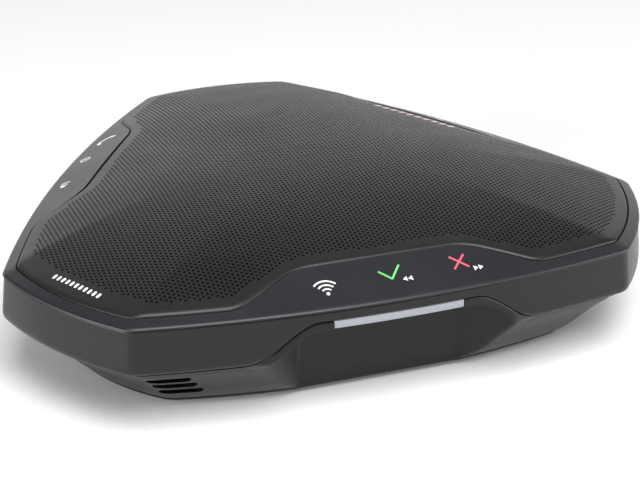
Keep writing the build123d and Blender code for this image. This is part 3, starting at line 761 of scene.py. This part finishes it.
def cut_openings(piece):
    """Microphone slots, port opening and screw passages in the lower case."""
    bm = bmesh.new()
    for turn in range(3):
        for cx, cy in SLOT_PLACES:
            outline = stadium(cx, cy, SLOT_LENGTH, SLOT_HEIGHT)
            add_prism(bm, outline, -23.0, 3.0, side_matrix(turn, LONG_REACH))
    half_w, half_h = PORT_WIDTH / 2, PORT_HEIGHT / 2
    port = [(x * half_w, PORT_Z + y * half_h) for x, y in ((-1, -1), (1, -1), (1, 1), (-1, 1))]
    add_prism(bm, port, -24.0, -10.0, side_matrix(2, LONG_REACH))
    for middle in (-30, 90, 210):
        for turn in (-SCREW_SPREAD, SCREW_SPREAD):
            a = math.radians(middle + turn)
            cx, cy = SCREW_REACH * math.cos(a), SCREW_REACH * math.sin(a)
            circle = ring_points(cx, cy, SCREW_HEAD_RADIUS, 24)
            add_prism(bm, circle, -1.0, FLOOR_Z + 1.5, Matrix.Identity(4))
    bmesh.ops.recalc_face_normals(bm, faces=bm.faces)
    tool_mesh = bpy.data.meshes.new("openings")
    bm.to_mesh(tool_mesh)
    bm.free()
    tool = bpy.data.objects.new("openings", tool_mesh)
    bpy.context.scene.collection.objects.link(tool)
    cut = piece.modifiers.new("cut", "BOOLEAN")
    cut.operation = "DIFFERENCE"
    cut.solver = "EXACT"
    cut.object = tool
    bpy.context.view_layer.update()
    result = bpy.data.meshes.new_from_object(piece.evaluated_get(bpy.context.evaluated_depsgraph_get()))
    piece.modifiers.clear()
    piece.data = result
    bpy.data.objects.remove(tool)
    result.shade_smooth()
    result.set_sharp_from_angle(angle=SHARP_ANGLE)
    result.materials.clear()
    result.materials.append(LOOKS["case_plastic"])


make_bezel()
make_band()
case_look = LOOKS["case_plastic"]
cut_openings(place_piece(make_case(), case_look, stands_for=("lower_case",)))


# ---------------------------------------------------------------- domed grille
RIM = TABLE[int(-TABLE_LOW / TABLE_STEP)]
RIM_ANGLES = np.arctan2(RIM[:, 1], RIM[:, 0])
RIM_ORDER = np.argsort(RIM_ANGLES)
RIM_RADII = np.linalg.norm(RIM, axis=1)


def rim_radius(angles):
    return np.interp(angles, RIM_ANGLES[RIM_ORDER], RIM_RADII[RIM_ORDER], period=2 * math.pi)


def smooth_radii():
    """Rim radius at even angles, with only its slow waves kept."""
    even = np.linspace(-math.pi, math.pi, 720, endpoint=False)
    waves = np.fft.rfft(rim_radius(even))
    waves[4:] = 0.0
    return even, np.fft.irfft(waves, len(even))


SLOW_ANGLES, SLOW_RADII = smooth_radii()


def dome_z(points):
    """Height of the domed top over plan points; the rim's corners fade out up the dome."""
    angles = np.arctan2(points[:, 1], points[:, 0])
    reach = np.linalg.norm(points, axis=1)
    rim = rim_radius(angles)
    slow = np.interp(angles, SLOW_ANGLES, SLOW_RADII, period=2 * math.pi)
    rim = slow + (rim - slow) * ease(reach / rim / 0.95) ** 1.5
    share = reach / rim
    return RIM_Z + GRILLE_LIFT + DOME_RISE * (1 - share**DOME_POWER)


def enclosed(points, starts, ends):
    """Which points lie inside the closed outline that these edges make, in any order."""
    result = np.zeros(len(points), bool)
    x, y = points[:, 0], points[:, 1]
    for (x0, y0), (x1, y1) in zip(starts, ends):
        crosses = (y0 > y) != (y1 > y)
        if y0 != y1:
            result ^= crosses & (x < x0 + (y - y0) * (x1 - x0) / (y1 - y0))
    return result


def inside(points, loop):
    return enclosed(points, loop, np.roll(loop, -1, axis=0))


def hole_lattice():
    """Middles of the round holes, as a table from lattice place to number."""
    loop = at_inset(WINDOW + PLAIN_MARGIN)
    pitch = HOLE_PITCH
    reach = int(125 / (pitch * COS30))
    places = [(i, j) for j in range(-reach, reach + 1) for i in range(-reach - abs(j), reach + abs(j) + 1)]
    middles = np.array([(j * pitch * COS30, (i + 0.5 * j) * pitch) for i, j in places])
    a = math.radians(210)
    out = middles @ np.array([math.cos(a), math.sin(a)])
    along = middles @ np.array([-math.sin(a), math.cos(a)])
    short_reach = SHORT_DISTANCE + SHORT_BULGE - BORDER
    keep = inside(middles, loop) & (out < short_reach - LABEL_MARGIN - along**2 / (2 * SHORT_RADIUS))
    numbers = {places[n]: k for k, n in enumerate(np.nonzero(keep)[0])}
    return numbers, middles[keep], pitch / HOLE_PITCH


NEIGHBOURS = ((0, 1), (1, 0), (1, -1), (0, -1), (-1, 0), (-1, 1))     # at 30, 90, 150 ... degrees


def grille_faces(numbers):
    """Webs between neighbouring holes; each hole has six corners at 0, 60 ... degrees."""
    faces = []
    for (i, j), n in numbers.items():
        near = [numbers.get((i + di, j + dj)) for di, dj in NEIGHBOURS]
        for k in range(3):
            m = near[k]
            if m is not None:
                faces.append((6 * n + k, 6 * m + (k + 4) % 6, 6 * m + k + 3, 6 * n + k + 1))
        for k in range(2):
            a, b = near[k], near[k + 1]
            if a is not None and b is not None:
                faces.append((6 * n + k + 1, 6 * a + (k + 3) % 6, 6 * b + (k + 5) % 6))
    return faces


def open_edges(faces, count):
    """Edges on the outside of the perforated field, holes counted as filled."""
    edges = set()
    holes = [tuple(range(6 * n, 6 * n + 6)) for n in range(count)]
    for face in faces + holes:
        for a, b in zip(face, face[1:] + face[:1]):
            if (b, a) in edges:
                edges.remove((b, a))
            else:
                edges.add((a, b))
    return edges


def border_field(top, border):
    """Flat points and triangles between the perforated field and the rolled edge."""
    outer_loop = at_inset(WINDOW + ROLL_WIDTH)
    used = sorted({v for edge in border for v in edge})
    place = {v: k for k, v in enumerate(used)}
    base = len(used)
    links = [(place[a], place[b]) for a, b in border]
    links += [(base + c, base + (c + 1) % COLUMNS) for c in range(COLUMNS)]
    points = [Vector(p) for p in np.vstack((top[used], outer_loop)).tolist()]
    out = delaunay_2d_cdt(points, links, [], 0, 1e-5)
    flat = np.array([tuple(v) for v in out[0]])
    triangles = np.array(out[2])
    centres = flat[triangles].mean(axis=1)
    edges = np.array(list(border))
    in_field = enclosed(centres, top[edges[:, 0]], top[edges[:, 1]])
    return flat, triangles[inside(centres, outer_loop) & ~in_field]


def make_grille():
    """Perforated dome: webs and hole walls, a plain border and a rolled edge."""
    numbers, middles, coarse = hole_lattice()
    count = len(middles)
    angles = np.radians(60 * np.arange(6))
    star = HOLE_RADIUS * coarse * np.column_stack((np.cos(angles), np.sin(angles)))
    top = (middles[:, None, :] + star[None, :, :]).reshape(-1, 2)
    faces = grille_faces(numbers)
    flat, triangles = border_field(top, open_edges(faces, count))

    # all vertices: hole tops, hole bottoms, border field, then the rolled edge
    def lifted(points, rise=0.0):
        return np.column_stack((points, dome_z(points) + rise))

    hole_tops = lifted(top)
    hole_feet = hole_tops - np.array([0, 0, HOLE_DEPTH])
    verts = [hole_tops, hole_feet, lifted(flat)]
    for n in range(count):
        for k in range(6):
            a, b = 6 * n + k, 6 * n + (k + 1) % 6
            faces.append((a, b, b + 6 * count, a + 6 * count))
    shift = 12 * count
    faces += [tuple(int(v) + shift for v in t) for t in triangles]
    shift += len(flat)
    edge_rows = [(ROLL_WIDTH, 0.0), (1.3, -0.01), (0.9, -0.05), (0.55, -0.15), (0.27, -0.33)]
    edge_rows += [(0.1, -0.55), (0.0, -0.85), (0.0, -1.7), (0.9, -1.7)]
    for back, drop in edge_rows:
        verts.append(lifted(at_inset(WINDOW + back), drop))
    for r in range(len(edge_rows) - 1):
        for c in range(COLUMNS):
            d = (c + 1) % COLUMNS
            lower = shift + (r + 1) * COLUMNS
            upper = shift + r * COLUMNS
            faces.append((upper + c, lower + c, lower + d, upper + d))
    mesh = bpy.data.meshes.new("grille_shell")
    mesh.from_pydata((np.vstack(verts) * MM).tolist(), [], faces)
    bm = bmesh.new()
    bm.from_mesh(mesh)
    bmesh.ops.remove_doubles(bm, verts=bm.verts, dist=2e-6)
    bmesh.ops.recalc_face_normals(bm, faces=bm.faces)
    bm.to_mesh(mesh)
    bm.free()
    mesh.shade_smooth()
    mesh.set_sharp_from_angle(angle=math.radians(40))
    place_piece(mesh, LOOKS["grille_metal"], stands_for=("speaker_grille",))


make_grille()


# ---------------------------------------------------------------- light bars
def make_light_bars():
    """Frosted bars that form the middle of each lip, with rounded edges and ends."""
    stations = np.linspace(-BAR_HALF, BAR_HALF, 49)
    top, bottom = ARCH_Z - SEAM - 0.05, ARCH_Z - LIP + 0.02
    profile = [(BAR_DEPTH, top), (0.35, top), (0.1, top - 0.1), (0.0, top - 0.35)]
    profile += [(0.0, bottom + 0.5), (0.12, bottom + 0.18), (0.5, bottom), (BAR_DEPTH, bottom)]
    for turn, side in enumerate(("front", "right", "left")):
        a = math.radians(120 * turn)
        verts = []
        for x in stations:
            end = max(0.0, abs(x) - (BAR_HALF - 0.3)) / 0.3
            for depth, z in profile:
                out = LONG_REACH - sag(x) - belt_inset(z) - max(depth, 0.25 * end)
                spot = (x * math.cos(a) + out * math.sin(a), x * math.sin(a) - out * math.cos(a), z)
                verts.append(tuple(v * MM for v in spot))
        n = len(profile)
        faces = []
        for i in range(len(stations) - 1):
            for k in range(n):
                m = (k + 1) % n
                faces.append((i * n + k, i * n + m, (i + 1) * n + m, (i + 1) * n + k))
        faces.append(tuple(range(n)))
        faces.append(tuple(len(verts) - n + k for k in reversed(range(n))))
        mesh = bpy.data.meshes.new(f"light_bar_shell_{side}")
        mesh.from_pydata(verts, [], faces)
        finish_mesh(mesh)
        place_piece(mesh, LOOKS["light_bar"], stands_for=(f"light_bar_{side}",))


make_light_bars()


# ---------------------------------------------------------------- printed signs
PRINT_TOP = 0.05         # printed marks reach from below the surface to just above it
PRINT_ROOT = -0.1


def stroke(points, width):
    """Quads along a line of points."""
    result = []
    for (x0, y0), (x1, y1) in zip(points, points[1:]):
        length = math.hypot(x1 - x0, y1 - y0)
        dx, dy = (x1 - x0) / length * width / 2, (y1 - y0) / length * width / 2
        x0, y0, x1, y1 = x0 - dx * 0.4, y0 - dy * 0.4, x1 + dx * 0.4, y1 + dy * 0.4
        result.append([(x0 + dy, y0 - dx), (x1 + dy, y1 - dx), (x1 - dy, y1 + dx), (x0 - dy, y0 + dx)])
    return result


def arc_points(cx, cy, radius, start, end, count=12):
    angles = [math.radians(start + (end - start) * k / count) for k in range(count + 1)]
    return [(cx + radius * math.cos(a), cy + radius * math.sin(a)) for a in angles]


def moved(shapes, cx, cy, turn=0.0):
    c, s = math.cos(math.radians(turn)), math.sin(math.radians(turn))
    return [[(cx + x * c - y * s, cy + x * s + y * c) for x, y in shape] for shape in shapes]


def waves_sign():
    shapes = [ring_points(0, -2.6, 0.6, 12)]
    for radius in (1.8, 3.3, 4.8):
        shapes += stroke(arc_points(0, -2.6, radius, 45, 135), 0.55)
    return shapes


def arrows_sign(way):
    return [[(way * x, -0.9), (way * (x + 1.5), 0.0), (way * x, 0.9)] for x in (-1.7, 0.1)]


def check_sign():
    return stroke([(-3.4, 3.3), (0.0, 0.0), (3.9, 4.7)], 0.66)


def cross_sign():
    return stroke([(-2.5, -2.4), (2.5, 2.4)], 0.66) + stroke([(-2.5, 2.4), (2.5, -2.4)], 0.66)


def speaker_sign():
    shapes = [[(-2.0, -0.7), (-1.0, -0.7), (0.2, -1.7), (0.2, 1.7), (-1.0, 0.7), (-2.0, 0.7)]]
    for radius in (1.5, 2.5):
        shapes += stroke(arc_points(0.2, 0.0, radius, -42, 42), 0.4)
    return shapes


def capsule_sign():
    shapes = [stadium(0.0, 0.0, 2.6, 1.5)]
    shapes += stroke(arc_points(0.1, 0.0, 1.7, 100, 260), 0.35)
    return moved(shapes, 0, 0, -90)


def handset_sign():
    bow = arc_points(0.0, -4.6, 5.2, 52, 128)
    shapes = stroke(bow, 1.1)
    for (x, y), turn in ((bow[0], -58), (bow[-1], 58)):
        shapes += moved([stadium(0.0, 0.0, 2.6, 1.5)], x, y - 0.5, turn)
    return shapes


def ring_sign():
    return stroke(arc_points(0.0, 0.0, 1.7, 0, 360, 20), 0.55) + [ring_points(0.0, 0.0, 0.5, 12)]


def sign_bar(length):
    return [stadium(0.0, 0.0, length, 0.5)]


def upright_bars(count, pitch, width, height):
    """A plain row of short bars."""
    bar = [stadium(0.0, 0.0, height, width)]
    return [shape for k in range(count) for shape in moved(bar, (k - (count - 1) / 2) * pitch, 0.0, 90)]


def make_sign(name, shapes, spot, ink):
    """Thin raised print; spot turns plan points of the shapes into places in mm."""
    bm = bmesh.new()
    for shape in shapes:
        upper = [bm.verts.new([v * MM for v in spot(x, y, PRINT_TOP)]) for x, y in shape]
        lower = [bm.verts.new([v * MM for v in spot(x, y, PRINT_ROOT)]) for x, y in shape]
        for k in range(len(shape)):
            j = (k + 1) % len(shape)
            bm.faces.new((upper[k], lower[k], lower[j], upper[j]))
        bm.faces.new(upper)
    mesh = bpy.data.meshes.new(name)
    bm.to_mesh(mesh)
    bm.free()
    mesh.validate()
    place_piece(mesh, INKS[ink])


def panel_spot(turn):
    """Places on a control panel: x along its side, y in from the rim's middle."""
    a = math.radians(120 * turn)

    def spot(x, y, lift):
        out = LONG_REACH - sag(x) - y
        z = frame_z(y) - 0.02 + lift
        return x * math.cos(a) + out * math.sin(a), x * math.sin(a) - out * math.cos(a), z

    return spot


def grille_spot(direction):
    """Places on the dome: x along a side seen from outside, y out from the axis."""
    a = math.radians(direction)

    def spot(x, y, lift):
        point = np.array([[y * math.cos(a) - x * math.sin(a), y * math.sin(a) + x * math.cos(a)]])
        return point[0, 0], point[0, 1], dome_z(point)[0] + lift

    return spot


def make_signs():
    """Key signs on the three panels and two plain rows of bars on the grille."""
    front = panel_spot(0)
    make_sign("sign_front_white", moved(waves_sign(), -21.5, 8.6) + moved(arrows_sign(-1), 5, 7.2)
              + moved(arrows_sign(1), 29.6, 6.6), front, "ink_white")
    make_sign("sign_front_green", moved(check_sign(), 0.2, 8.0), front, "ink_green")
    make_sign("sign_front_red", moved(cross_sign(), 24, 10.0), front, "ink_red")
    right = panel_spot(1)
    make_sign("sign_right", moved(sign_bar(3.6), -24, 9) + moved(sign_bar(3.6), 24, 9)
              + moved(sign_bar(3.6), 24, 9, 90) + moved(capsule_sign(), 0, 9), right, "ink_white")
    left = panel_spot(2)
    make_sign("sign_left", moved(handset_sign(), -27, 6.5, 150) + moved(ring_sign(), -7.5, 6.2)
              + moved(speaker_sign(), 17, 6.0, 180), left, "ink_white")
    small_row = moved(upright_bars(11, 2.0, 1.0, 2.0), 0.5, 108.0)
    make_sign("sign_grille_left", small_row, grille_spot(210), "ink_white")
    large_row = moved(upright_bars(10, 3.9, 2.0, 4.2), 2.5, 67.5)
    make_sign("sign_grille_right", large_row, grille_spot(30), "ink_rose")


make_signs()


# ---------------------------------------------------------------- floor and light
WORLD_FRONT = 0.16          # surround brightness ahead of the object, and behind it
WORLD_BACK = 1.24
WORLD_TURN = math.radians(22)     # its bright part lies this far from +Y towards +X
FLOOR_HALF = 4.0            # in m
LAMPS = (
    # name, place in m, width and height in m, power in W
    ("overhead", (0.0, -0.80, 1.40), (1.0, 1.0), 27.0),
    ("left", (-1.45, -0.45, 0.30), (1.3, 0.5), 23.0),
    ("right", (1.4, -0.8, 0.34), (1.5, 0.6), 16.0),
)


def make_studio():
    """White floor, soft boxes and a surround that is brightest low behind the object."""
    floor_mesh = bpy.data.meshes.new("floor")
    s = FLOOR_HALF
    floor_mesh.from_pydata([(-s, -s, 0), (s, -s, 0), (s, s, 0), (-s, s, 0)], [], [(0, 1, 2, 3)])
    floor = bpy.data.objects.new("floor", floor_mesh)
    bpy.context.scene.collection.objects.link(floor)
    n = Nodes("floor")
    n.join(Base_Color=n.tint(n.noise(3.0), (0.88, 0.88, 0.88), (0.90, 0.90, 0.90)), Roughness=0.9)
    floor_mesh.materials.append(n.material)

    world = bpy.data.worlds.new("surround")
    world.use_nodes = True
    tree = world.node_tree
    direction = tree.nodes.new("ShaderNodeTexCoord").outputs["Generated"]
    towards = tree.nodes.new("ShaderNodeVectorMath")
    towards.operation = "DOT_PRODUCT"
    towards.inputs[1].default_value = (math.sin(WORLD_TURN), math.cos(WORLD_TURN), 0.0)
    tree.links.new(direction, towards.inputs[0])
    ramp = tree.nodes.new("ShaderNodeMapRange")
    ramp.interpolation_type = "SMOOTHSTEP"
    limits = {"From Min": 0.45, "From Max": 0.95, "To Min": WORLD_FRONT, "To Max": WORLD_BACK}
    for key, value in limits.items():
        ramp.inputs[key].default_value = value
    tree.links.new(towards.outputs["Value"], ramp.inputs["Value"])
    background = tree.nodes["Background"]
    background.inputs["Color"].default_value = (1.0, 1.0, 1.0, 1.0)
    tree.links.new(ramp.outputs["Result"], background.inputs["Strength"])
    bpy.context.scene.world = world
    bpy.context.scene.view_settings.view_transform = "Standard"

    for name, place, size, power in LAMPS:
        data = bpy.data.lights.new(name, "AREA")
        data.shape = "RECTANGLE"
        data.size, data.size_y = size
        data.energy = power
        lamp = bpy.data.objects.new(name, data)
        lamp.location = place
        aim = Vector((0, 0, 0.03)) - Vector(place)
        lamp.rotation_euler = aim.to_track_quat("-Z", "Y").to_euler()
        bpy.context.scene.collection.objects.link(lamp)


make_studio()
